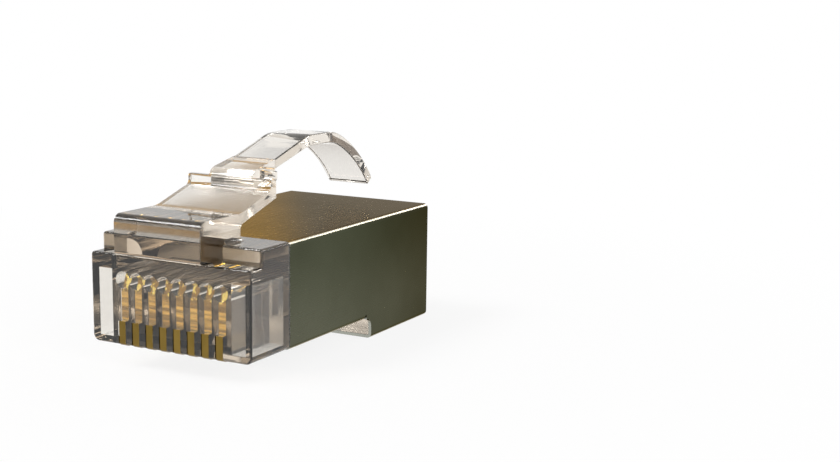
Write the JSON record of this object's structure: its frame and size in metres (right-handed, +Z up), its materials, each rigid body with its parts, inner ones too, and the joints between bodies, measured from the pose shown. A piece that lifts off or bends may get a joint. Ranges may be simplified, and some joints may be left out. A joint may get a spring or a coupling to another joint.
{
  "type": "rj45 modular plug",
  "caption": "Clear modular plug with a folded metal shield, gold contact blades in slots at the nose, and a springy latch with two shoulders and a tail that curves back over the body.",
  "frame": {"origin": "middle of the plug's box in X and Y, at its lowest point, the underside of the rear part", "axes": "+Y from the nose towards the cable, +Z up towards the latch, X across the contacts"},
  "size_m": [0.0116, 0.0228, 0.0133],
  "materials": {
    "clear_plastic": "clear polished polycarbonate",
    "shield_metal": "nickel plated sheet, soft sheen",
    "contact_gold": "gold plated, bright"
  },
  "bodies": {
    "plug": {"housing": "clear_plastic", "shield": "shield_metal", "contact_1": "contact_gold", "contact_2": "contact_gold", "contact_3": "contact_gold", "contact_4": "contact_gold", "contact_5": "contact_gold", "contact_6": "contact_gold", "contact_7": "contact_gold", "contact_8": "contact_gold"},
    "arm": {"latch_arm": "clear_plastic"},
    "tail": {"latch_tail": "clear_plastic"}
  },
  "joints": [
    {"name": "latch_press", "type": "hinge", "parent": "plug", "child": "arm", "pos_m": [0, -0.00741, 0.00927], "axis": [-1, 0, 0], "range_deg": [0, 15], "stiffness_Nm_per_rad": 0.15},
    {"name": "tail_flex", "type": "hinge", "parent": "arm", "child": "tail", "pos_m": [0, -0.00146, 0.01184], "axis": [1, 0, 0], "range_deg": [0, 17.3], "stiffness_Nm_per_rad": 0.05}
  ],
  "couplings": [
    {"joint": "tail_flex", "follows": "latch_press", "ratio": 1.15}
  ]
}
